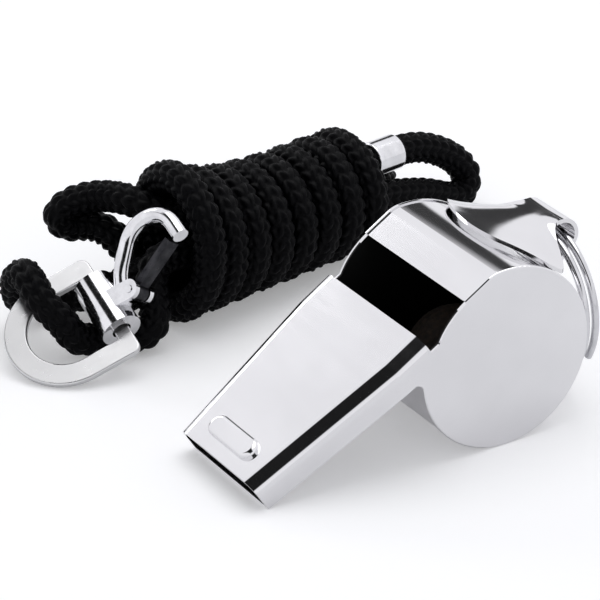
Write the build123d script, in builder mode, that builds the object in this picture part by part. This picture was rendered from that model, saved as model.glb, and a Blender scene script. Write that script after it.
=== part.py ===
from build123d import *
from math import acos, asin, atan2, cos, hypot, radians, sin, sqrt
import os

# A pressed-metal pea whistle with a split ring, and its neck lanyard wound in a hank beside it.
# Millimetres, +Z up. +X points out of the mouthpiece, +Y to the whistle's right-hand disc.
# The origin is under the middle of the whistle, on the surface that it rests on.

# Whistle body: discs, barrel band and mouthpiece, all pressed from sheet
sheet = 0.5
body_width = 21.0
barrel_radius = 11.2
band_inset = 0.15
rim_round = 0.2
crease_round = 3.0
roof_drop = 0.8
lip_reach = 0.2
lip_bevel = 0.3
window_reach = 6.7
window_inset = 1.1
taper_lead = 0.2
tip_reach = 31.6
tip_width = 16.4
mouth_height = 4.0
roof_round = 1.9
neck_round = 1.0
sole_start = 16.3
windway_height = 1.4
floor_bend = 1.6
fold_bend = 0.3
fold_drop = 0.8

# Raised thumb bar on the mouthpiece roof
bar_from_tip = 3.1
bar_length = 9.0
bar_width = 2.8
bar_height = 0.7
bar_round_share = 0.8

# Ring bracket: a shield of sheet that lies on the barrel and rolls into an eyelet
eyelet_offset = 12.45
eyelet_height = 8.95
eyelet_radius = 1.75
eyelet_width = 6.8
shield_inset = 0.2
shield_offset = 2.3
shield_corner = 7.4
shield_crown_height = 0.2
solder_gap = 0.03
tail_length = 5.0
roll_start_angle = 75
roll_turn_angle = 150

# Split ring
ring_inset = 1.2
ring_wire = 0.9
turn_gap = 0.42
ring_rest_gap = 0.15
ring_jog_angle = 40
ring_jog_place = 70

# Cork pea
pea_radius = 6.0
pea_gap = 0.06

# Lanyard: a loop of knitted cord, its ends joined in a sleeve, wound into a hank
cord_radius = 1.7
cord_gap = 0.74
cord_rest = 0.05
wrap_turns = 8
turn_points = 12
wrap_start = -13.6
wrap_swell = 2.4
wrap_bow = 2.8
hank_turn = 9
hank_x = -1.2
hank_y = -41.0
joint_x = -16.9
joint_length = 4.4
joint_gap = 0.6
crimp_wall = 0.5
crimp_gap = 0.08
crimp_round = 0.3

# Snap hook: D-shaped eye, hook with a knuckle on the eye's bar, sprung gate and its pin
eye_x = 27.8
eye_y = -33.1
eye_z = 6.55
eye_rise = 24
eye_roll = 23
eye_width = 15.3
eye_depth = 14.1
eye_limb = 2.8
eye_bar = 1.9
eye_sheet = 0.9
eye_corner = 1.2
eye_edge = 0.2
eye_clear = 0.15
bight_place = 50
bight_half = 3.0
bight_lead = 0.68
knuckle_radius = 2.5
knuckle_length = 7.6
hook_lean = 30
hook_wire = 1.0
hook_reach = 13.0
hook_height = 5.2
hook_nose = 0.4
gate_sheet = 0.9
gate_width = 1.8
gate_clear = 0.15
gate_eye = 1.1
pin_along = 4.4
pin_below = 1.5
pin_radius = 0.5
pin_fit = 0.01
pin_gap = 0.05
pin_head = 0.15
lug_wall = 0.7

overrun = 3.0

# Working frames. The whistle stands on its barrel and on the lower edge of the mouthpiece tip.
roof_height = barrel_radius - roof_drop
sole_height = roof_height - mouth_height
bend_height = roof_height - roof_round
inner_half = body_width / 2 - sheet
window_hollow = barrel_radius - window_inset
taper_start = barrel_radius + taper_lead
tilt = asin(barrel_radius / hypot(tip_reach, sole_height)) + atan2(sole_height, tip_reach)
tip_front = tip_reach * cos(tilt) + roof_height * sin(tilt)

ring_radius = body_width / 2 - ring_inset
ring_half_depth = ring_wire + turn_gap / 2
ring_sag = ring_radius - sqrt(ring_radius**2 - (eyelet_width / 2) ** 2)
ring_drop = ring_radius - ring_sag / 2
eyelet_angle = atan2(eyelet_height, eyelet_offset)
ring_clear = barrel_radius + ring_half_depth + ring_rest_gap
ring_lean = max(eyelet_angle - acos(ring_clear / hypot(eyelet_offset, eyelet_height)), 0)
ring_back = eyelet_offset + (ring_drop + ring_radius + ring_wire / 2) * sin(ring_lean)
ring_back = ring_back + ring_half_depth * cos(ring_lean)
eyelet_back = eyelet_offset + eyelet_radius + sheet

barrel_axis = Vector((max(ring_back, eyelet_back) - tip_front) / 2, 0, barrel_radius)
side_plane = Plane(origin=barrel_axis, x_dir=(cos(tilt), 0, -sin(tilt)), z_dir=(0, -1, 0))
roof_centre = side_plane.from_local_coords((0, roof_height, 0))
roof_plane = Plane(origin=roof_centre, x_dir=side_plane.x_dir, z_dir=side_plane.y_dir)
upright_plane = Plane(origin=barrel_axis, x_dir=(1, 0, 0), z_dir=(0, -1, 0))

eyelet_centre = barrel_axis + Vector(-eyelet_offset, 0, eyelet_height)
ring_way = Vector(-sin(ring_lean), 0, -cos(ring_lean))
ring_centre = eyelet_centre + ring_way * ring_drop
ring_plane = Plane(origin=ring_centre, x_dir=(0, 1, 0), z_dir=Vector(0, 1, 0).cross(ring_way))

hank_angle = radians(hank_turn)
hank_origin = (barrel_axis.X + hank_x, hank_y, 0)
hank_plane = Plane(origin=hank_origin, x_dir=(cos(hank_angle), sin(hank_angle), 0), z_dir=(0, 0, 1))

# The eye's plane has the bar along its y axis and the round end along its x axis.
# The hook leans back over the bar, so its plane shares that y axis.
bar_way = Vector(0, -cos(radians(eye_rise)), sin(radians(eye_rise)))
bar_up = Vector(0, sin(radians(eye_rise)), cos(radians(eye_rise)))
depth_way = Vector(1, 0, 0) * cos(radians(eye_roll)) - bar_up * sin(radians(eye_roll))
face_way = bar_way.cross(depth_way)
eye_centre = Vector(barrel_axis.X + eye_x, eye_y, eye_z)
eye_plane = Plane(origin=eye_centre, x_dir=depth_way, z_dir=face_way * -1)
hook_way = face_way * sin(radians(hook_lean)) - depth_way * cos(radians(hook_lean))
hook_plane = Plane(origin=eye_centre, x_dir=hook_way, z_dir=hook_way.cross(bar_way))


def outer_half(reach):
    """Half the mouthpiece's outer width at a distance from the barrel axis."""
    along = (reach - taper_start) / (tip_reach - taper_start)
    return body_width / 2 + (tip_width - body_width) / 2 * max(along, 0)


def runs_lengthwise(edge):
    """True for an edge of the mouthpiece that runs towards its tip."""
    return abs((edge % 0.5).dot(roof_plane.y_dir)) < 0.5


def tangent_run(stations):
    """Straight runs and pairs of tangent arcs through a list of (point, direction) stations."""
    for (start, start_way), (end, end_way) in zip(stations, stations[1:]):
        chord = end - start
        if chord.cross(start_way).length + chord.cross(end_way).length < chord.length * 1e-6:
            Line(start, end)
            continue
        spread = 2 * (1 - start_way.dot(end_way))
        pull = chord.dot(start_way + end_way)
        if spread < 1e-9:
            reach = chord.dot(chord) / (4 * chord.dot(end_way))
        else:
            reach = (sqrt(pull**2 + spread * chord.dot(chord)) - pull) / spread
        first = start + start_way * reach
        second = end - end_way * reach
        middle = (first + second) / 2
        TangentArc(start, middle, tangent=start_way)
        TangentArc(middle, end, tangent=second - first)


def station(plane, point, way):
    """A (point, direction) pair given in a plane's own axes."""
    start = plane.from_local_coords(Vector(*point))
    ahead = plane.from_local_coords(Vector(*point) + Vector(*way))
    return start, (ahead - start).normalized()


def least_gap(wire, radius, joined=False):
    """Least clear gap between stretches of one tube, without neighbours or ends that are joined."""
    count = int(wire.length / radius * 3)
    spots = [tuple(wire.position_at(i / count)) for i in range(count + 1)]
    apart = int(4.6 * radius / wire.length * count)
    last = count - apart if joined else count
    least = wire.length**2
    for i, (ax, ay, az) in enumerate(spots):
        for bx, by, bz in spots[i + apart : i + last + 1]:
            least = min(least, (ax - bx) ** 2 + (ay - by) ** 2 + (az - bz) ** 2)
    return sqrt(least) - 2 * radius


os.makedirs("parts", exist_ok=True)

# Mouthpiece: a tapering trough with rolled upper edges, as a block and as the hollow inside it
with BuildPart() as mouth_block:
    with BuildSketch(roof_plane):
        with BuildLine():
            Polyline(
                (window_reach, -body_width / 2),
                (taper_start, -body_width / 2),
                (tip_reach, -tip_width / 2),
                (tip_reach, tip_width / 2),
                (taper_start, body_width / 2),
                (window_reach, body_width / 2),
                close=True,
            )
        make_face()
    extrude(amount=-mouth_height)
    roof_face = mouth_block.faces().sort_by(Axis(roof_centre, roof_plane.z_dir))[-1]
    fillet(roof_face.edges().filter_by(runs_lengthwise), radius=roof_round)
    with BuildSketch(side_plane):
        with Locations((sole_start, sole_height + sheet)):
            Rectangle(tip_reach, mouth_height, align=(Align.MIN, Align.MAX))
    extrude(amount=body_width, both=True, mode=Mode.SUBTRACT)

with BuildPart() as mouth_hollow:
    with BuildSketch(roof_plane.offset(-sheet)):
        with BuildLine():
            Polyline(
                (window_reach - overrun, -inner_half),
                (taper_start, -inner_half),
                (tip_reach + overrun, sheet - outer_half(tip_reach + overrun)),
                (tip_reach + overrun, outer_half(tip_reach + overrun) - sheet),
                (taper_start, inner_half),
                (window_reach - overrun, inner_half),
                close=True,
            )
        make_face()
    extrude(amount=-mouth_height - overrun)
    hollow_face = mouth_hollow.faces().sort_by(Axis(roof_centre, roof_plane.z_dir))[-1]
    fillet(hollow_face.edges().filter_by(runs_lengthwise), radius=roof_round - sheet)

# Body: one pressing with both discs, the neck, the mouthpiece trough and its thumb bar
with BuildSketch() as window_notch:
    with Locations((lip_reach, bend_height)):
        Rectangle(window_reach - lip_reach, barrel_radius, align=(Align.MIN, Align.MIN))
    Circle(window_hollow, mode=Mode.SUBTRACT)

with BuildPart() as body_shell:
    with BuildSketch(side_plane) as side_outline:
        Circle(barrel_radius)
        with Locations((0, sole_height)):
            Rectangle(taper_start, bend_height - sole_height, align=(Align.MIN, Align.MIN))
        with Locations((0, roof_height)):
            Rectangle(2 * tip_reach, barrel_radius, align=(Align.CENTER, Align.MIN), mode=Mode.SUBTRACT)
        add(window_notch.sketch, mode=Mode.SUBTRACT)
        neck_reach = sqrt(barrel_radius**2 - sole_height**2)
        neck_corner = side_outline.vertices().sort_by_distance((neck_reach, sole_height))[0]
        fillet(neck_corner, radius=neck_round)
        crease_reach = sqrt(barrel_radius**2 - roof_height**2)
        crease_corner = side_outline.vertices().sort_by_distance((-crease_reach, roof_height))[0]
        fillet(crease_corner, radius=crease_round)
    extrude(amount=body_width / 2, both=True)
    rims = body_shell.edges().filter_by(GeomType.CIRCLE).filter_by(lambda e: e.length > barrel_radius)
    fillet(rims, radius=rim_round)
    with BuildSketch(side_plane):
        Circle(2 * tip_reach)
    extrude(amount=inner_half, both=True, mode=Mode.SUBTRACT)
    add(mouth_block.part)
    add(mouth_hollow.part, mode=Mode.SUBTRACT)
    with BuildSketch(roof_plane):
        with Locations((tip_reach - bar_from_tip, 0)):
            SlotOverall(bar_length, bar_width, rotation=90)
    extrude(amount=bar_height)
    bar_face = body_shell.faces().sort_by(Axis(roof_centre, roof_plane.z_dir))[-1]
    fillet(bar_face.edges(), radius=bar_height * bar_round_share)
    with BuildSketch(roof_plane.offset(-sheet)):
        with Locations((tip_reach - bar_from_tip, 0)):
            SlotOverall(bar_length - 2 * sheet, bar_width - 2 * sheet, rotation=90)
    extrude(amount=bar_height, mode=Mode.SUBTRACT)
body_shell.part.label = "body_shell"
export_step(body_shell.part, "parts/body_shell.step")

# Barrel: a band of sheet between the discs, flat at its top where it ends in the sounding lip
with BuildPart() as barrel_band:
    with BuildSketch(side_plane) as band_outline:
        Circle(barrel_radius - band_inset)
        with Locations((0, roof_height - band_inset)):
            Rectangle(2 * tip_reach, barrel_radius, align=(Align.CENTER, Align.MIN), mode=Mode.SUBTRACT)
        band_corner = band_outline.vertices().sort_by_distance((-crease_reach, roof_height))[0]
        fillet(band_corner, radius=crease_round - band_inset)
        offset(amount=-sheet, kind=Kind.INTERSECTION, mode=Mode.SUBTRACT)
        with Locations((lip_reach, sole_height)):
            Rectangle(barrel_radius, barrel_radius, align=(Align.MIN, Align.MIN), mode=Mode.SUBTRACT)
    extrude(amount=inner_half, both=True)
    lip_corner = side_plane.from_local_coords((lip_reach, roof_height - band_inset - sheet, 0))
    chamfer(barrel_band.edges().filter_by(Axis.Y).sort_by_distance(lip_corner)[0], length=lip_bevel)
barrel_band.part.label = "barrel_band"
export_step(barrel_band.part, "parts/barrel_band.step")

# Floor: one folded sheet, the sole under the tip, the windway's rising floor and the fold to the band
slot_height = roof_height - sheet - windway_height - sheet / 2
fold_reach = window_reach + sheet / 2
fold_foot = slot_height - fold_drop - sole_height + overrun
fold_slope = (sqrt((barrel_radius - band_inset - sheet / 2) ** 2 - sole_height**2) - fold_reach) / (
    slot_height - fold_drop - sole_height
)
with BuildPart() as mouthpiece_floor:
    with BuildSketch(side_plane):
        with BuildLine():
            FilletPolyline(
                (tip_reach, sole_height + sheet / 2),
                (sole_start - fold_bend, sole_height + sheet / 2),
                (fold_reach, slot_height),
                (fold_reach, slot_height - fold_drop),
                (fold_reach + fold_slope * fold_foot, sole_height - overrun),
                radius=[floor_bend, fold_bend, fold_bend],
            )
        trace(line_width=sheet)
        with Locations((sole_start, sole_height)):
            Rectangle(2 * tip_reach, barrel_radius, align=(Align.CENTER, Align.MAX), mode=Mode.SUBTRACT)
    extrude(amount=body_width, both=True)
    with BuildSketch(roof_plane):
        with BuildLine():
            Polyline(
                (0, -inner_half),
                (taper_start, -inner_half),
                (sole_start, sheet - outer_half(sole_start)),
                (sole_start, -outer_half(sole_start)),
                (tip_reach, -tip_width / 2),
                (tip_reach, 0),
                (0, 0),
                close=True,
            )
        make_face()
        mirror(about=Plane.XZ)
    extrude(amount=2 * barrel_radius, both=True, mode=Mode.INTERSECT)
mouthpiece_floor.part.label = "mouthpiece_floor"
export_step(mouthpiece_floor.part, "parts/mouthpiece_floor.step")

# Ring bracket: a saddle of sheet from the barrel to a rolled eyelet, closed below by a tail
saddle_back_shares = (0.03, 0.35, 0.6, 0.8, 1)
saddle_narrow_shares = (0, 0, 0, 0.64, 1)
saddle_lift_shares = (0.1, 0.05, 0.05, 0.77, 0.996)
shield_width = body_width - 2 * shield_inset
seat_radius = barrel_radius + solder_gap
eyelet_crown = eyelet_height + eyelet_radius
with BuildPart() as ring_bracket:
    for back_share, narrow_share, lift_share in zip(
        saddle_back_shares, saddle_narrow_shares, saddle_lift_shares
    ):
        back = eyelet_offset * back_share
        half = (shield_width + (eyelet_width - shield_width) * narrow_share) / 2
        seat = sqrt(max(seat_radius**2 - back**2, 0))
        crown = seat_radius + shield_crown_height
        crown = crown + (eyelet_crown - crown) * back_share
        foot = seat + (crown - seat) * lift_share
        with BuildSketch(Plane(origin=barrel_axis - Vector(back, 0, 0), x_dir=(0, 1, 0), z_dir=(1, 0, 0))):
            with BuildLine():
                ThreePointArc((-half, foot), (0, crown), (half, foot))
                Line((half, foot), (half, foot + sheet))
                ThreePointArc((half, foot + sheet), (0, crown + sheet), (-half, foot + sheet))
                Line((-half, foot + sheet), (-half, foot))
            make_face()
    loft()
    with BuildSketch(Plane(origin=(barrel_axis.X - shield_corner, 0, 0))):
        Ellipse(shield_corner - shield_offset, shield_width / 2)
        Rectangle(2 * eyelet_offset, shield_width, align=(Align.MAX, Align.CENTER))
    extrude(amount=4 * barrel_radius, mode=Mode.INTERSECT)
    with BuildSketch(upright_plane):
        with BuildLine():
            roll = CenterArc(
                (-eyelet_offset, eyelet_height), eyelet_radius + sheet / 2, roll_start_angle, roll_turn_angle
            )
            Line(roll @ 1, roll @ 1 + (roll % 1) * tail_length)
        trace(line_width=sheet)
    extrude(amount=eyelet_width / 2, both=True)
    with BuildSketch(upright_plane):
        Circle(seat_radius)
    extrude(amount=body_width, both=True, mode=Mode.SUBTRACT)
ring_bracket.part.label = "ring_bracket"
export_step(ring_bracket.part, "parts/ring_bracket.step")

# Split ring: two flat turns of one wire, joined by a short jog
ring_level = (ring_wire + turn_gap) / 2
turn_steps = 4
ring_stations = []
for level in (-ring_level, ring_level):
    for step in range(turn_steps + 1):
        turned = radians(ring_jog_place + (360 - ring_jog_angle) * step / turn_steps)
        place = (ring_radius * cos(turned), ring_radius * sin(turned), level)
        ring_stations.append(station(ring_plane, place, (-sin(turned), cos(turned), 0)))
with BuildPart() as split_ring:
    with BuildLine() as ring_path:
        tangent_run(ring_stations)
    ring_line = ring_path.wires()[0]
    with BuildSketch(Plane(origin=ring_line @ 0, z_dir=ring_line % 0)):
        Circle(ring_wire / 2)
    sweep(path=ring_line)
split_ring.part.label = "split_ring"
export_step(split_ring.part, "parts/split_ring.step")
print("split ring, least gap", least_gap(ring_line, ring_wire / 2))

# Cork pea: a ball that runs round the barrel just clear of its wall and flat top
chamber_radius = barrel_radius - band_inset - sheet
chamber_top = roof_height - band_inset - sheet
pea_low = chamber_radius - pea_radius - pea_gap
pea_high = chamber_top - pea_radius - pea_gap
pea_orbit = (pea_low + pea_high) / 2
pea_axis = side_plane.from_local_coords((0, (pea_high - pea_low) / 2, 0))
with BuildPart(Plane(origin=pea_axis - Vector(0, 0, pea_orbit))) as cork_pea:
    Sphere(pea_radius)
cork_pea.part.label = "cork_pea"
export_step(cork_pea.part, "parts/cork_pea.step")

# Lanyard cord: three strands side by side inside the wraps, a bight through the eye, loops at both ends
lay = 2 * cord_radius + cord_gap
strand_ring = lay / sqrt(3)
wrap_radius = strand_ring + lay
wrap_level = wrap_radius + cord_radius + cord_rest
upper_strand = wrap_level + strand_ring
lower_strand = wrap_level - strand_ring / 2
strand_side = lay / 2
wrap_end = wrap_start + wrap_turns * lay
limb_middle = eye_width / 2 - eye_limb / 2
eye_round = eye_depth - eye_bar / 2 - eye_width / 2
out_x = cos(radians(bight_place))
out_y = sin(radians(bight_place))
bight_x = eye_round + (limb_middle + bight_lead) * out_x
bight_y = (limb_middle + bight_lead) * out_y

cord_route = [
    station(hank_plane, (joint_x - joint_gap / 2, 0, upper_strand), (-1, 0, 0)),
    station(hank_plane, (-24.6, 0, upper_strand), (-1, 0, 0)),
    station(hank_plane, (-24.6, 2.8, 3.6), (1, 0, 0)),
    station(hank_plane, (-13.2, strand_side, lower_strand), (1, 0, 0)),
    station(hank_plane, (2, strand_side, lower_strand), (1, 0, 0)),
    station(hank_plane, (19.6, strand_side + wrap_bow, lower_strand + 1.2), (1, 0, 0)),
    station(hank_plane, (25.4, 6.4, 2.9), (0.8, -0.45, -0.4)),
    station(hank_plane, (29.4, 2.3, 1.8), (0.8, -0.6, 0.1)),
    station(eye_plane, (5.6, 0.4, 0.2), (0.45, 0.42, -0.77)),
    station(eye_plane, (bight_x, bight_y, -bight_half), (out_x, out_y, 0)),
    station(eye_plane, (bight_x + bight_half * out_x, bight_y + bight_half * out_y, 0), (0, 0, 1)),
    station(eye_plane, (bight_x, bight_y, bight_half), (-out_x, -out_y, 0)),
    station(hank_plane, (31.4, -3.4, 2.6), (-0.93, 0.36, 0)),
    station(hank_plane, (19.6, wrap_bow - strand_side, lower_strand + 1.2), (-1, 0, 0)),
    station(hank_plane, (2, -strand_side, lower_strand), (-1, 0, 0)),
    station(hank_plane, (-13.2, -strand_side, lower_strand), (-1, 0, 0)),
    station(hank_plane, (-16.4, -7.4, 3.6), (1, 0, 0)),
]
for point in range(turn_points * wrap_turns):
    along = point / (turn_points * wrap_turns)
    turned = radians(360 * point / turn_points)
    swell = along**3
    reach = wrap_radius + wrap_swell * swell
    place = (
        wrap_start + (wrap_end - wrap_start) * along,
        wrap_bow * swell - reach * cos(turned),
        reach + cord_radius + cord_rest + reach * sin(turned),
    )
    climb = lay / (radians(360) * reach)
    cord_route.append(station(hank_plane, place, (climb, sin(turned), cos(turned))))
cord_route += [
    station(hank_plane, (23.2, -12.8, 7.4), (1, 0, 0.1)),
    station(hank_plane, (23.2, -8.4, 12.6), (-1, 0, 0)),
    station(hank_plane, (19.6, wrap_bow, upper_strand + 1.2), (-1, 0, 0)),
    station(hank_plane, (2, 0, upper_strand), (-1, 0, 0)),
    station(hank_plane, (joint_x + joint_gap / 2, 0, upper_strand), (-1, 0, 0)),
]
with BuildPart() as lanyard_cord:
    with BuildLine() as cord_path:
        tangent_run(cord_route)
    cord_line = cord_path.wires()[0]
    with BuildSketch(Plane(origin=cord_line @ 0, z_dir=cord_line % 0)):
        Circle(cord_radius)
    sweep(path=cord_line)
lanyard_cord.part.label = "lanyard_cord"
export_step(lanyard_cord.part, "parts/lanyard_cord.step")
cord_volume = cord_line.length * cord_radius**2 * radians(180)
print("cord length", cord_line.length, "least gap", least_gap(cord_line, cord_radius, True))
print("cord volume over section times length", lanyard_cord.part.volume / cord_volume)

# Joint sleeve: a metal tube crimped over the two ends of the cord
joint_centre = hank_plane.from_local_coords((joint_x, 0, upper_strand))
with BuildPart(Plane(origin=joint_centre, z_dir=hank_plane.x_dir)) as joint_sleeve:
    Cylinder(cord_radius + crimp_gap + crimp_wall, joint_length)
    fillet(joint_sleeve.edges(), radius=crimp_round)
    Cylinder(cord_radius + crimp_gap, joint_length, mode=Mode.SUBTRACT)
joint_sleeve.part.label = "joint_sleeve"
export_step(joint_sleeve.part, "parts/joint_sleeve.step")

# Eye: a flat D with a straight bar
with BuildPart() as hook_eye:
    with BuildSketch(eye_plane) as eye_outline:
        with Locations((eye_round, 0)):
            Circle(eye_width / 2)
            Rectangle(eye_round + eye_bar / 2, eye_width, align=(Align.MAX, Align.CENTER))
        with Locations((-eye_bar / 2, 0)):
            Rectangle(eye_depth, 2 * eye_width, align=(Align.MAX, Align.CENTER), mode=Mode.SUBTRACT)
        bar_corners = eye_outline.vertices().sort_by(Axis.X)[:2]
        fillet(bar_corners, radius=eye_corner)
    extrude(amount=eye_sheet / 2, both=True)
    with BuildSketch(eye_plane):
        with Locations((eye_round, 0)):
            Circle(eye_width / 2 - eye_limb)
            Rectangle(eye_round - eye_bar / 2, eye_width - 2 * eye_limb, align=(Align.MAX, Align.CENTER))
        with Locations((eye_bar / 2, 0)):
            Rectangle(eye_depth, 2 * eye_width, align=(Align.MAX, Align.CENTER), mode=Mode.SUBTRACT)
    extrude(amount=eye_sheet, both=True, mode=Mode.SUBTRACT)
    fillet(hook_eye.faces().filter_by(eye_plane).edges(), radius=eye_edge)
hook_eye.part.label = "hook_eye"
export_step(hook_eye.part, "parts/hook_eye.step")

# Hook: a knuckle on the bar, a bent wire, and two cheeks that carry the gate pin
hook_shares = ((0.13, 0), (0.38, 0.56), (0.69, 1), (1, 0.31))
hook_ways = ((1, 0, 0), (0.76, 0.65, 0), (1, 0, 0), (0, -1, 0))
hook_stations = []
for (along_share, side_share), way in zip(hook_shares, hook_ways):
    hook_stations.append(station(hook_plane, (hook_reach * along_share, hook_height * side_share, 0), way))
hook_stations.append(station(hook_plane, (hook_reach, -hook_nose, 0), (0, -1, 0)))
pin_place = (pin_along, -pin_below)
lug_radius = pin_radius + lug_wall
bar_hole = hypot(eye_bar, eye_sheet) / 2 + eye_clear
with BuildPart() as hook_body:
    with BuildLine() as hook_path:
        tangent_run(hook_stations)
    hook_line = hook_path.wires()[0]
    with BuildSketch(Plane(origin=hook_line @ 0, z_dir=hook_line % 0)):
        Circle(hook_wire)
    sweep(path=hook_line)
    with BuildSketch(Plane(origin=eye_centre, z_dir=bar_way)):
        Circle(knuckle_radius)
    extrude(amount=knuckle_length / 2, both=True)
    with BuildSketch(hook_plane) as lug_outline:
        with Locations(pin_place):
            Circle(lug_radius)
        Circle(lug_radius)
        make_hull()
    extrude(amount=gate_width / 2 + gate_clear + lug_wall, both=True)
    with BuildSketch(hook_plane):
        with Locations(pin_place):
            Rectangle(2 * (gate_eye + gate_clear), 2 * (gate_eye + gate_clear))
    extrude(amount=gate_width / 2 + gate_clear, both=True, mode=Mode.SUBTRACT)
    with BuildSketch(hook_plane):
        with Locations(pin_place):
            Circle(pin_radius + pin_fit)
    extrude(amount=knuckle_radius, both=True, mode=Mode.SUBTRACT)
    with BuildSketch(Plane(origin=eye_centre, z_dir=bar_way)):
        Circle(bar_hole)
    extrude(amount=knuckle_length, both=True, mode=Mode.SUBTRACT)
hook_body.part.label = "hook_body"
export_step(hook_body.part, "parts/hook_body.step")

# Gate: a flat bar on the pin, closing against the inner side of the hook's nose
gate_end = hook_reach - hook_wire - 2 * gate_clear
with BuildPart() as hook_gate:
    with BuildSketch(hook_plane):
        with Locations(pin_place):
            Circle(gate_eye)
        with BuildLine():
            Line(pin_place, (gate_end, 0))
        trace(line_width=gate_sheet)
    extrude(amount=gate_width / 2, both=True)
    with BuildSketch(hook_plane):
        with Locations(pin_place):
            Circle(pin_radius + pin_gap)
    extrude(amount=gate_width, both=True, mode=Mode.SUBTRACT)
hook_gate.part.label = "hook_gate"
export_step(hook_gate.part, "parts/hook_gate.step")

# Gate pin, pressed into both cheeks
with BuildPart() as gate_pin:
    with BuildSketch(hook_plane):
        with Locations(pin_place):
            Circle(pin_radius)
    extrude(amount=gate_width / 2 + gate_clear + lug_wall + pin_head, both=True)
gate_pin.part.label = "gate_pin"
export_step(gate_pin.part, "parts/gate_pin.step")
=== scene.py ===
from math import cos, pi, radians, sin, sqrt

import bpy
import numpy as np
from mathutils import Matrix, Vector


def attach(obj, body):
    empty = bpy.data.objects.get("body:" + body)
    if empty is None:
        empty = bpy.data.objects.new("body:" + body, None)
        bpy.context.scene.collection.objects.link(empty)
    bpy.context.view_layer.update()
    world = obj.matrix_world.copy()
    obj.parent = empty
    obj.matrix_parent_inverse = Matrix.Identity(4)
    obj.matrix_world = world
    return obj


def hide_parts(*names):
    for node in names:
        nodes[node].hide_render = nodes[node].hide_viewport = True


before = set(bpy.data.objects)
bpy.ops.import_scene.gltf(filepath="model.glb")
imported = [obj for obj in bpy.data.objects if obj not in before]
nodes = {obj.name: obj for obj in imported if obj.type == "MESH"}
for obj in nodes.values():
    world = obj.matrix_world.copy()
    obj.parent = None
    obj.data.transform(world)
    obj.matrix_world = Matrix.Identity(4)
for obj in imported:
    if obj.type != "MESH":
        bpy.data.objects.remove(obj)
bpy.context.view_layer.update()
MM = 0.001

# The whistle's main places in millimetres: the barrel's axis, and the lean of the mouthpiece
BARREL_X = -8.8201
BARREL_Z = 11.2
TILT = radians(31.7763)
UP = Vector((0.0, 0.0, 1.0))

# The part of a noise texture's range that it mostly fills
NOISE_LOW = 0.3
NOISE_HIGH = 0.7


# Shader nodes
def new_material(name):
    """A material with its node tree and its Principled shader."""
    material = bpy.data.materials.new(name)
    material.use_nodes = True
    tree = material.node_tree
    shader = tree.nodes["Principled BSDF"]
    return material, tree, shader


def add_node(tree, kind, **inputs):
    """A node with some of its input sockets set."""
    node = tree.nodes.new(kind)
    for key, value in inputs.items():
        node.inputs[key.replace("_", " ")].default_value = value
    return node


def operate(tree, operation, *inputs, kind="ShaderNodeMath"):
    """The value of a math node whose inputs are sockets or plain values."""
    node = tree.nodes.new(kind)
    node.operation = operation
    for socket, source in zip(node.inputs, inputs):
        if isinstance(source, bpy.types.NodeSocket):
            tree.links.new(source, socket)
        else:
            socket.default_value = source
    return node.outputs["Value"]


def mix_shaders(tree, share, first, second):
    """Two shaders mixed by a share."""
    node = tree.nodes.new("ShaderNodeMixShader")
    tree.links.new(share, node.inputs["Fac"])
    tree.links.new(first.outputs[0], node.inputs[1])
    tree.links.new(second.outputs[0], node.inputs[2])
    return node


def noise(tree, scale, detail, stretch=None):
    """Noise in object coordinates, in cycles per metre, stretched along some axes."""
    coords = tree.nodes.new("ShaderNodeTexCoord")
    texture = add_node(tree, "ShaderNodeTexNoise", Scale=scale, Detail=detail)
    if stretch:
        mapping = add_node(tree, "ShaderNodeMapping", Scale=stretch)
        tree.links.new(coords.outputs["Object"], mapping.inputs["Vector"])
        tree.links.new(mapping.outputs["Vector"], texture.inputs["Vector"])
    else:
        tree.links.new(coords.outputs["Object"], texture.inputs["Vector"])
    return texture.outputs["Fac"]


def colour_ramp(tree, source, stops, target):
    """Colours a socket by a texture's value. Stops are (place, colour)."""
    node = tree.nodes.new("ShaderNodeValToRGB")
    elements = node.color_ramp.elements
    while len(elements) < len(stops):
        elements.new(0.5)
    for element, (place, colour) in zip(elements, stops):
        element.position = place
        element.color = (*colour, 1.0)
    tree.links.new(source, node.inputs["Fac"])
    tree.links.new(node.outputs["Color"], target)


def spread(tree, source, limits, target):
    """Sets a socket to a value between two limits that follows a texture."""
    low, high = limits
    node = add_node(
        tree, "ShaderNodeMapRange", From_Min=NOISE_LOW, From_Max=NOISE_HIGH, To_Min=low, To_Max=high
    )
    tree.links.new(source, node.inputs["Value"])
    tree.links.new(node.outputs["Result"], target)


def bump(tree, shader, source, strength, depth):
    """Roughens a shader's normal by a texture, with its depth in millimetres."""
    node = add_node(tree, "ShaderNodeBump", Strength=strength, Distance=depth * MM)
    tree.links.new(source, node.inputs["Height"])
    tree.links.new(node.outputs["Normal"], shader.inputs["Normal"])


# Metals
TONE_LOW = 0.35
TONE_HIGH = 0.65
GRAIN_STRENGTH = 0.02
GRAIN_DEPTH = 0.02

# The space inside the whistle, just within its sheet
HOLLOW_HALF_WIDTH = 10.25
HOLLOW_RADIUS = 10.8
HOLLOW_ROOF = 10.0
# Painted shade: the inside is coloured near-black; its roughness is that of unpolished metal.
INSIDE_SHADE_COLOUR = (0.03, 0.03, 0.03, 1.0)
DULL_ROUGHNESS = 0.6


def metal(name, dark, light, rough, wave, grain, grain_stretch=None):
    """Plated metal: a little tone and gloss variation, and a faint polishing grain."""
    material, tree, shader = new_material(name)
    shader.inputs["Metallic"].default_value = 1.0
    cloud = noise(tree, wave, 4.0)
    colour_ramp(tree, cloud, [(TONE_LOW, dark), (TONE_HIGH, light)], shader.inputs["Base Color"])
    scratches = noise(tree, grain, 5.0, grain_stretch)
    spread(tree, scratches, rough, shader.inputs["Roughness"])
    bump(tree, shader, scratches, GRAIN_STRENGTH, GRAIN_DEPTH)
    return material


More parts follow.
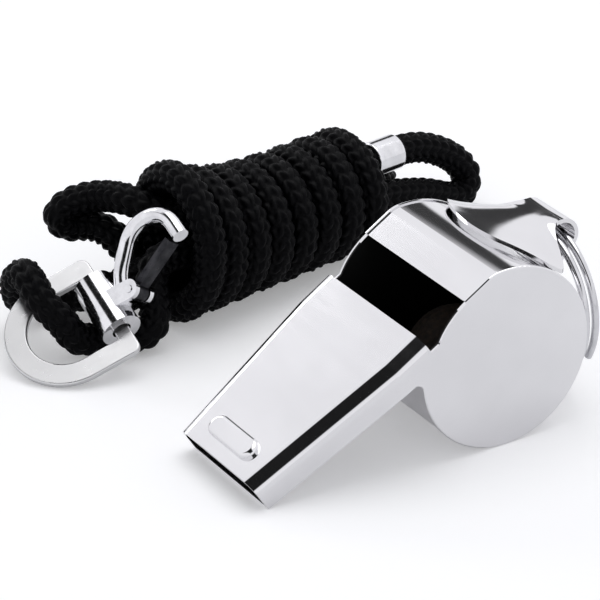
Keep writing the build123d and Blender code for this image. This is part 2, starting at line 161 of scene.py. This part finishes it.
def inside_mask(tree):
    """1 on the surfaces that face into the whistle, 0 outside, from the place on the object."""
    coords = tree.nodes.new("ShaderNodeTexCoord")
    split = tree.nodes.new("ShaderNodeSeparateXYZ")
    tree.links.new(coords.outputs["Object"], split.inputs[0])
    aside = operate(tree, "ABSOLUTE", split.outputs["Y"])
    between = operate(tree, "LESS_THAN", aside, HOLLOW_HALF_WIDTH * MM)
    across = operate(tree, "SUBTRACT", split.outputs["X"], BARREL_X * MM)
    lift = operate(tree, "SUBTRACT", split.outputs["Z"], BARREL_Z * MM)
    across_square = operate(tree, "MULTIPLY", across, across)
    lift_square = operate(tree, "MULTIPLY", lift, lift)
    square = operate(tree, "ADD", across_square, lift_square)
    within = operate(tree, "LESS_THAN", square, (HOLLOW_RADIUS * MM) ** 2)
    across_part = operate(tree, "MULTIPLY", across, sin(TILT))
    lift_part = operate(tree, "MULTIPLY", lift, cos(TILT))
    height = operate(tree, "ADD", across_part, lift_part)
    under = operate(tree, "LESS_THAN", height, HOLLOW_ROOF * MM)
    return operate(tree, "MULTIPLY", operate(tree, "MULTIPLY", between, within), under)


def shade_and_roughen_inside(material):
    """Darkens the inside of the whistle as painted shade, and makes it rough like unpolished metal."""
    tree = material.node_tree
    shader = tree.nodes["Principled BSDF"]
    mask = inside_mask(tree)
    for name, kind, inside_value in (("Base Color", "RGBA", INSIDE_SHADE_COLOUR), ("Roughness", "FLOAT", DULL_ROUGHNESS)):
        socket = shader.inputs[name]
        mix = tree.nodes.new("ShaderNodeMix")
        mix.data_type = kind
        slots = [slot for slot in mix.inputs if slot.enabled]
        result = [slot for slot in mix.outputs if slot.enabled][0]
        tree.links.new(mask, slots[0])
        tree.links.new(socket.links[0].from_socket, slots[1])
        slots[2].default_value = inside_value
        tree.links.new(result, socket)


polished = metal(
    "polished_steel",
    dark=(0.77, 0.765, 0.78),
    light=(0.81, 0.805, 0.82),
    rough=(0.07, 0.10),
    wave=90.0,
    grain=900.0,
    grain_stretch=(1.0, 0.12, 1.0),
)
# Painted shade on the inside of the whistle, with rough unpolished metal there
shade_and_roughen_inside(polished)
ring_metal = metal(
    "ring_steel",
    dark=(0.62, 0.62, 0.64),
    light=(0.74, 0.74, 0.76),
    rough=(0.08, 0.18),
    wave=400.0,
    grain=2500.0,
)
satin = metal(
    "satin_plating",
    dark=(0.66, 0.66, 0.665),
    light=(0.72, 0.72, 0.725),
    rough=(0.26, 0.36),
    wave=120.0,
    grain=1600.0,
    grain_stretch=(0.15, 1.0, 1.0),
)
# The hook's gate: its near-black colour is painted reflection of the dark cord behind it.
gate_painted_dark = metal(
    "spring_steel",
    dark=(0.015, 0.015, 0.018),
    light=(0.05, 0.05, 0.055),
    rough=(0.25, 0.4),
    wave=600.0,
    grain=2600.0,
)
plating = metal(
    "hook_plating",
    dark=(0.70, 0.70, 0.72),
    light=(0.84, 0.84, 0.86),
    rough=(0.05, 0.16),
    wave=500.0,
    grain=2600.0,
)


# Cork and yarn
def cork_with_painted_shade():
    """Cork with a coarse grain, coloured very dark as painted shade inside the whistle's chamber."""
    material, tree, shader = new_material("cork")
    grains = noise(tree, 1400.0, 6.0)
    # Painted shade: these cork tones are made near-black for the shade the pea sits in.
    tones = [(0.30, (0.006, 0.0035, 0.002)), (0.48, (0.016, 0.009, 0.005)), (0.70, (0.034, 0.019, 0.01))]
    colour_ramp(tree, grains, tones, shader.inputs["Base Color"])
    shader.inputs["Roughness"].default_value = 0.85
    bump(tree, shader, grains, strength=0.7, depth=0.3)
    return material


def cord_material():
    """Black polyester yarn: nearly black, with a soft sheen that breaks up from stitch to stitch."""
    material, tree, shader = new_material("cord_yarn")
    fibres = noise(tree, 5200.0, 3.0)
    tones = [(NOISE_LOW, (0.0006, 0.0006, 0.0009)), (NOISE_HIGH, (0.002, 0.002, 0.0028))]
    colour_ramp(tree, fibres, tones, shader.inputs["Base Color"])
    spread(tree, fibres, (0.32, 0.52), shader.inputs["Roughness"])
    shader.inputs["Specular IOR Level"].default_value = 0.06
    bump(tree, shader, fibres, strength=0.5, depth=0.08)
    return material


def dress(node_name, material):
    """Gives a CAD node its material."""
    mesh = nodes[node_name].data
    mesh.materials.clear()
    mesh.materials.append(material)


for node_name in ("body_shell", "barrel_band", "mouthpiece_floor", "ring_bracket"):
    dress(node_name, polished)
dress("split_ring", ring_metal)
dress("cork_pea", cork_with_painted_shade())
dress("hook_eye", satin)
for node_name in ("joint_sleeve", "hook_body", "gate_pin"):
    dress(node_name, plating)
# Painted reflection: the gate is coloured near-black for the dark cord it mirrors.
dress("hook_gate", gate_painted_dark)

# Lanyard cord. Route points in millimetres, in the hank's own axes.
CORD_RADIUS = 1.7
CORD_GAP = 0.74
CORD_REST = 0.05
HANK_TURN = radians(9)
HANK_AHEAD = -1.2
HANK_ASIDE = -41.0
HANK_ORIGIN = Vector((BARREL_X + HANK_AHEAD, HANK_ASIDE, 0.0))
HANK_X = Vector((cos(HANK_TURN), sin(HANK_TURN), 0.0))
HANK_Y = Vector((-sin(HANK_TURN), cos(HANK_TURN), 0.0))

LAY = 2 * CORD_RADIUS + CORD_GAP
STRAND_RING = LAY / sqrt(3)
BUNDLE_LEVEL = STRAND_RING + LAY + CORD_RADIUS + CORD_REST
SLEEVE_LEVEL = BUNDLE_LEVEL + STRAND_RING
SIDE = LAY / 2
# The three strands inside the wraps lie a little lower than where they leave the sleeve.
STRAND_DROP = 0.6
UPPER = SLEEVE_LEVEL - STRAND_DROP
LOWER = BUNDLE_LEVEL - STRAND_RING / 2 - STRAND_DROP

# The wraps are pulled flatter than round, and the last ones ride up over the bundle's end.
WRAP_TURNS = 8
TURN_POINTS = 12
WRAP_START = -11.4
WRAP_END = 19.4
WRAP_REST = 2.05
WRAP_HALF_WIDTH = 6.6
WRAP_HALF_HEIGHT = 6.0
END_WIDER = 0.8
END_HIGHER = 3.2
END_BOW = 0.6
SWELL_POWER = 4
# A smooth spline runs inside a ring of its control points by this share.
RING_SHARE = cos(pi / TURN_POINTS)


def hank(x, y, z):
    """A place given in the hank's own axes."""
    return HANK_ORIGIN + HANK_X * x + HANK_Y * y + UP * z


# Out of the sleeve, round the loop at the right and through the bundle
route = [
    hank(-17.2, 0, SLEEVE_LEVEL),
    hank(-20.8, 0, SLEEVE_LEVEL),
    hank(-24.6, 0.4, 9.6),
    hank(-28.2, 1.2, 7.4),
    hank(-30.0, 2.2, 4.4),
    hank(-27.2, 3.0, 2.2),
    hank(-22.8, 2.4, 4.4),
    hank(-18.8, 2.3, 5.6),
    hank(-14.6, SIDE, LOWER),
    hank(-9.4, SIDE, LOWER),
    hank(2.0, SIDE, LOWER),
    hank(7.5, SIDE, LOWER),
]
# Out of the bundle's end, under the knuckle, up through the eye, round its limb and back
route += [
    hank(13.8, 2.3, 7.4),
    hank(18.2, 2.3, 9.8),
    hank(22.2, 2.4, 9.6),
    hank(23.8, 4.2, 6.4),
    hank(24.6, 6.0, 3.6),
    hank(26.6, 5.2, 2.05),
    hank(28.8, 2.4, 2.05),
    hank(31.4, 1.6, 2.1),
    hank(33.4, 1.3, 2.7),
    hank(34.6, 0.8, 5.2),
    hank(36.3, -0.8, 7.6),
    hank(36.0, -3.5, 9.6),
    hank(35.4, -5.7, 9.9),
    hank(35.2, -8.2, 7.4),
    hank(33.8, -9.4, 4.1),
    hank(31.2, -10.2, 2.6),
    hank(27.8, -9.2, 2.3),
    hank(25.0, -5.0, 3.6),
    hank(21.0, -1.8, 6.0),
]
# Through the bundle again, and a turn behind it to the first wrap
route += [
    hank(14.0, -SIDE, LOWER),
    hank(6.0, -SIDE, LOWER),
    hank(2.0, -SIDE, LOWER),
    hank(-9.2, -SIDE, LOWER),
    hank(-13.8, -SIDE, LOWER),
    hank(-17.4, -2.5, 5.8),
    hank(-20.4, -4.0, 4.9),
    hank(-22.0, -6.4, 4.1),
    hank(-20.2, -8.5, 3.6),
    hank(-15.8, -8.8, 4.2),
]
for point in range(TURN_POINTS * WRAP_TURNS):
    along = point / (TURN_POINTS * WRAP_TURNS)
    turned = 2 * pi * point / TURN_POINTS
    swell = along**SWELL_POWER
    half_width = WRAP_HALF_WIDTH + END_WIDER * swell
    half_height = WRAP_HALF_HEIGHT + END_HIGHER * swell
    route.append(
        hank(
            WRAP_START + (WRAP_END - WRAP_START) * along,
            END_BOW * swell - half_width / RING_SHARE * cos(turned),
            WRAP_REST + half_height + half_height / RING_SHARE * sin(turned),
        )
    )
# The free loop at the left, back into the bundle and to the sleeve
route += [
    hank(20.0, -8.8, 9.0),
    hank(21.2, -11.2, 9.6),
    hank(23.6, -12.8, 9.4),
    hank(25.2, -13.0, 11.2),
    hank(23.4, -12.2, 13.0),
    hank(20.4, -9.6, 13.9),
    hank(19.4, -4.0, 14.7),
    hank(16.6, -0.8, 12.4),
    hank(10.5, 0, 10.4),
    hank(6.5, 0, UPPER),
    hank(2.0, 0, UPPER),
    hank(-8.0, 0, UPPER),
    hank(-12.4, 0, SLEEVE_LEVEL),
    hank(-16.6, 0, SLEEVE_LEVEL),
]


def spline_points(places):
    """Points in metres along the smooth spline that has these places as its control points."""
    curve = bpy.data.curves.new("lanyard_route", "CURVE")
    curve.dimensions = "3D"
    curve.resolution_u = 16
    spline = curve.splines.new("NURBS")
    spline.points.add(len(places) - 1)
    for control, place in zip(spline.points, places):
        control.co = (*(place * MM), 1.0)
    spline.order_u = 3
    spline.use_endpoint_u = True
    holder = bpy.data.objects.new("lanyard_route", curve)
    bpy.context.scene.collection.objects.link(holder)
    bpy.context.view_layer.update()
    mesh = bpy.data.meshes.new_from_object(holder)
    points = np.array([vertex.co[:] for vertex in mesh.vertices])
    bpy.data.objects.remove(holder)
    bpy.data.meshes.remove(mesh)
    return points


# The knitted tube: columns of V stitches round the cord, as raised ribs of real geometry
KNIT_RADIUS = 1.9
KNIT_DEPTH = 0.5
KNIT_COLUMNS = 6
KNIT_PITCH = 1.4
KNIT_SLANT = 0.55
RIB_POWER = 0.8
LEG_EDGE_SHARE = 0.08
SUNK_SHARE = 0.7
RING_POINTS = 10 * KNIT_COLUMNS
RING_STEP = 0.2
SOFTENINGS = 8


def even_points(points, step):
    """Points at even distances along a line, and those distances."""
    runs = np.linalg.norm(np.diff(points, axis=0), axis=1)
    places = np.concatenate([[0.0], np.cumsum(runs)])
    count = int(places[-1] / step) + 1
    wanted = np.linspace(0.0, places[-1], count)
    spots = np.stack([np.interp(wanted, places, points[:, axis]) for axis in range(3)], axis=1)
    return spots, wanted


def soften(points, times):
    """Evens out the small facets of a line that was read from the spline, keeping its ends."""
    for _ in range(times):
        inner = (points[:-2] + 2 * points[1:-1] + points[2:]) / 4
        points = np.concatenate([points[:1], inner, points[-1:]])
    return points


def carried_sides(points):
    """Two directions across a line at each of its points, that turn as little as possible."""
    ways = np.gradient(points, axis=0)
    ways /= np.linalg.norm(ways, axis=1)[:, None]
    side = np.cross(ways[0], UP)
    sides = []
    for way in ways:
        side = side - way * side.dot(way)
        side /= np.linalg.norm(side)
        sides.append(side)
    sides = np.array(sides)
    return sides, np.cross(ways, sides)


def stitch_heights(lengths, angles):
    """How far the knit stands out, by the length along the cord and the angle round it."""
    column = angles * KNIT_COLUMNS / (2 * pi)
    across = column - np.floor(column)
    leg = 1 - np.abs(2 * across - 1)
    rows = lengths[:, None] / (KNIT_PITCH * MM) - KNIT_SLANT * leg[None, :]
    rib = np.abs(np.cos(pi * rows)) ** RIB_POWER
    crown = np.sqrt(np.sin(pi * (LEG_EDGE_SHARE + (1 - 2 * LEG_EDGE_SHARE) * leg)))
    return KNIT_DEPTH * (rib * crown[None, :] - SUNK_SHARE)


def knitted_tube(name, points):
    """A closed tube of V stitches along a line, in metres."""
    spots, lengths = even_points(points, RING_STEP * MM)
    spots = soften(spots, SOFTENINGS)
    sides, lifts = carried_sides(spots)
    angles = np.arange(RING_POINTS) * 2 * pi / RING_POINTS
    radius = (KNIT_RADIUS + stitch_heights(lengths, angles)) * MM
    outward = np.cos(angles)[None, :, None] * sides[:, None, :]
    outward = outward + np.sin(angles)[None, :, None] * lifts[:, None, :]
    verts = (spots[:, None, :] + radius[:, :, None] * outward).reshape(-1, 3)
    count = len(spots)
    faces = []
    for row in range(count - 1):
        base = row * RING_POINTS
        above = base + RING_POINTS
        for place in range(RING_POINTS):
            after = (place + 1) % RING_POINTS
            faces.append((base + place, base + after, above + after, above + place))
    faces.append(tuple(range(RING_POINTS - 1, -1, -1)))
    faces.append(tuple(range((count - 1) * RING_POINTS, count * RING_POINTS)))
    mesh = bpy.data.meshes.new(name)
    mesh.from_pydata(verts.tolist(), [], faces)
    mesh.polygons.foreach_set("use_smooth", [True] * len(mesh.polygons))
    mesh.update()
    piece = bpy.data.objects.new(name, mesh)
    bpy.context.scene.collection.objects.link(piece)
    return piece, spots


cord, cord_line = knitted_tube("knitted_cord", spline_points(route))
cord.data.materials.append(cord_material())
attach(cord, "whistle")
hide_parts("lanyard_cord")

# Stage: a pale floor, lifted a little towards white where the camera or metal sees it
FLOOR_REACH = 3.0
FLOOR_COLOUR = (0.86, 0.86, 0.875, 1.0)
SEEN_LIFT = 0.26
MIRRORED_LIFT = 0.1
WHITE = (1.0, 1.0, 1.0, 1.0)


def floor_material():
    """A matte floor with its lift."""
    material = bpy.data.materials.new("floor")
    material.use_nodes = True
    tree = material.node_tree
    tree.nodes.clear()
    output = tree.nodes.new("ShaderNodeOutputMaterial")
    matte = add_node(tree, "ShaderNodeBsdfDiffuse", Color=FLOOR_COLOUR)
    lift = add_node(tree, "ShaderNodeEmission", Color=WHITE)
    paths = tree.nodes.new("ShaderNodeLightPath")
    seen = operate(tree, "MULTIPLY", paths.outputs["Is Camera Ray"], SEEN_LIFT)
    mirrored = operate(tree, "MULTIPLY", paths.outputs["Is Glossy Ray"], MIRRORED_LIFT)
    tree.links.new(operate(tree, "ADD", seen, mirrored), lift.inputs["Strength"])
    both = tree.nodes.new("ShaderNodeAddShader")
    tree.links.new(matte.outputs[0], both.inputs[0])
    tree.links.new(lift.outputs[0], both.inputs[1])
    tree.links.new(both.outputs[0], output.inputs["Surface"])
    return material


floor_mesh = bpy.data.meshes.new("floor")
corners = [(-1, -1), (1, -1), (1, 1), (-1, 1)]
floor_mesh.from_pydata([(FLOOR_REACH * x, FLOOR_REACH * y, 0) for x, y in corners], [], [(0, 1, 2, 3)])
floor = bpy.data.objects.new("floor", floor_mesh)
floor_mesh.materials.append(floor_material())
bpy.context.scene.collection.objects.link(floor)

# Studio: white behind the object and an even fill. Metal sees a pale room with two dark places in it,
# a strip arched across the mouthpiece and a narrow upright gap at the back.
STUDIO_COLOUR = (0.97, 0.97, 1.0, 1.0)
FILL_COLOUR = (0.96, 0.97, 1.0, 1.0)
FILL_STRENGTH = 0.62
ARCH_LEAN = radians(16)
GAP_HEADING = radians(236.5)


def beyond(tree, source, edge, softness):
    """0 up to an edge, and rising softly to 1 past it."""
    node = add_node(tree, "ShaderNodeMapRange", From_Min=edge, From_Max=edge + softness)
    node.interpolation_type = "SMOOTHSTEP"
    tree.links.new(source, node.inputs["Value"])
    return node.outputs["Result"]


def dark_panel(tree, way, ahead, along, half_width, side_softness, low, high, end_softness, depth):
    """1 away from a soft-edged dark panel that stands ahead, depth inside it.

    Its length is measured along one direction and its width across it, on the unit sphere."""

    def part(direction):
        return operate(tree, "DOT_PRODUCT", way, direction, kind="ShaderNodeVectorMath")

    aside = operate(tree, "ABSOLUTE", part(along.cross(ahead)))
    off_middle = operate(tree, "ABSOLUTE", operate(tree, "SUBTRACT", part(along), (low + high) / 2))
    past_side = beyond(tree, aside, half_width, side_softness)
    past_end = beyond(tree, off_middle, (high - low) / 2, end_softness)
    opposite = operate(tree, "LESS_THAN", part(ahead), 0.0)
    outside = operate(tree, "MAXIMUM", operate(tree, "MAXIMUM", past_side, past_end), opposite)
    return operate(tree, "MULTIPLY_ADD", outside, 1 - depth, depth)


def studio_world():
    """The room that lights the object, and what the camera and metal see of it."""
    world = bpy.data.worlds.new("studio")
    world.use_nodes = True
    tree = world.node_tree
    tree.nodes.clear()
    output = tree.nodes.new("ShaderNodeOutputWorld")
    way = tree.nodes.new("ShaderNodeTexCoord").outputs["Generated"]
    roof_way = Vector((sin(TILT), 0.0, cos(TILT)))
    side_way = Vector((0.0, 1.0, 0.0))
    arch = dark_panel(
        tree,
        way,
        ahead=roof_way * cos(ARCH_LEAN) + side_way * sin(ARCH_LEAN),
        along=side_way * cos(ARCH_LEAN) - roof_way * sin(ARCH_LEAN),
        half_width=0.2,
        side_softness=0.1,
        low=-0.67,
        high=0.67,
        end_softness=0.1,
        depth=0.012,
    )
    gap = dark_panel(
        tree,
        way,
        ahead=Vector((cos(GAP_HEADING), sin(GAP_HEADING), 0.0)),
        along=UP,
        half_width=0.07,
        side_softness=0.03,
        low=0.15,
        high=0.48,
        end_softness=0.07,
        depth=0.05,
    )
    studio = add_node(tree, "ShaderNodeBackground", Color=STUDIO_COLOUR)
    tree.links.new(operate(tree, "MULTIPLY", arch, gap), studio.inputs["Strength"])
    white = add_node(tree, "ShaderNodeBackground", Color=WHITE, Strength=1.0)
    fill = add_node(tree, "ShaderNodeBackground", Color=FILL_COLOUR, Strength=FILL_STRENGTH)
    paths = tree.nodes.new("ShaderNodeLightPath").outputs
    room = mix_shaders(tree, paths["Is Glossy Ray"], fill, studio)
    seen = operate(tree, "MAXIMUM", paths["Is Camera Ray"], paths["Is Transmission Ray"])
    background = mix_shaders(tree, seen, room, white)
    tree.links.new(background.outputs[0], output.inputs["Surface"])
    return world


bpy.context.scene.world = studio_world()

# Lamps, in metres and watts, both aimed at the middle of the group
LAMP_TARGET = Vector((0, -0.02, 0.01))


def area_light(name, place, size, power):
    """A round soft lamp."""
    lamp = bpy.data.lights.new(name, "AREA")
    lamp.shape = "DISK"
    lamp.size = size
    lamp.energy = power
    light = bpy.data.objects.new(name, lamp)
    light.location = place
    light.rotation_euler = (LAMP_TARGET - Vector(place)).to_track_quat("-Z", "Y").to_euler()
    bpy.context.scene.collection.objects.link(light)


area_light("key", place=(-0.15, -0.12, 0.9), size=0.9, power=2.6)
area_light("rim", place=(0.1, -0.75, 0.45), size=0.25, power=0.5)

# Camera at the photograph's viewing angle
AZIMUTH = radians(59.12)
ELEVATION = radians(27.35)
ROLL = radians(-1.05)
DISTANCE = 0.4154
LENS = 210.0
SENSOR = 36.0
NEAREST = 0.01
LOOK_AHEAD = 8.95
LOOK_ASIDE = -19.77
LOOK_HEIGHT = 8.0
TARGET = Vector((BARREL_X + LOOK_AHEAD, LOOK_ASIDE, LOOK_HEIGHT)) * MM
back = Vector((cos(ELEVATION) * cos(AZIMUTH), cos(ELEVATION) * sin(AZIMUTH), sin(ELEVATION)))
level = Vector((-sin(AZIMUTH), cos(AZIMUTH), 0.0))
upright = back.cross(level)
right = level * cos(ROLL) + upright * sin(ROLL)
top = upright * cos(ROLL) - level * sin(ROLL)
lens = bpy.data.cameras.new("camera")
lens.sensor_width = SENSOR
lens.lens = LENS
lens.clip_start = NEAREST
camera = bpy.data.objects.new("camera", lens)
axes = Matrix((right, top, back)).transposed()
camera.matrix_world = Matrix.Translation(TARGET + back * DISTANCE) @ axes.to_4x4()
bpy.context.scene.collection.objects.link(camera)
bpy.context.scene.camera = camera
bpy.context.scene.view_settings.view_transform = "Standard"
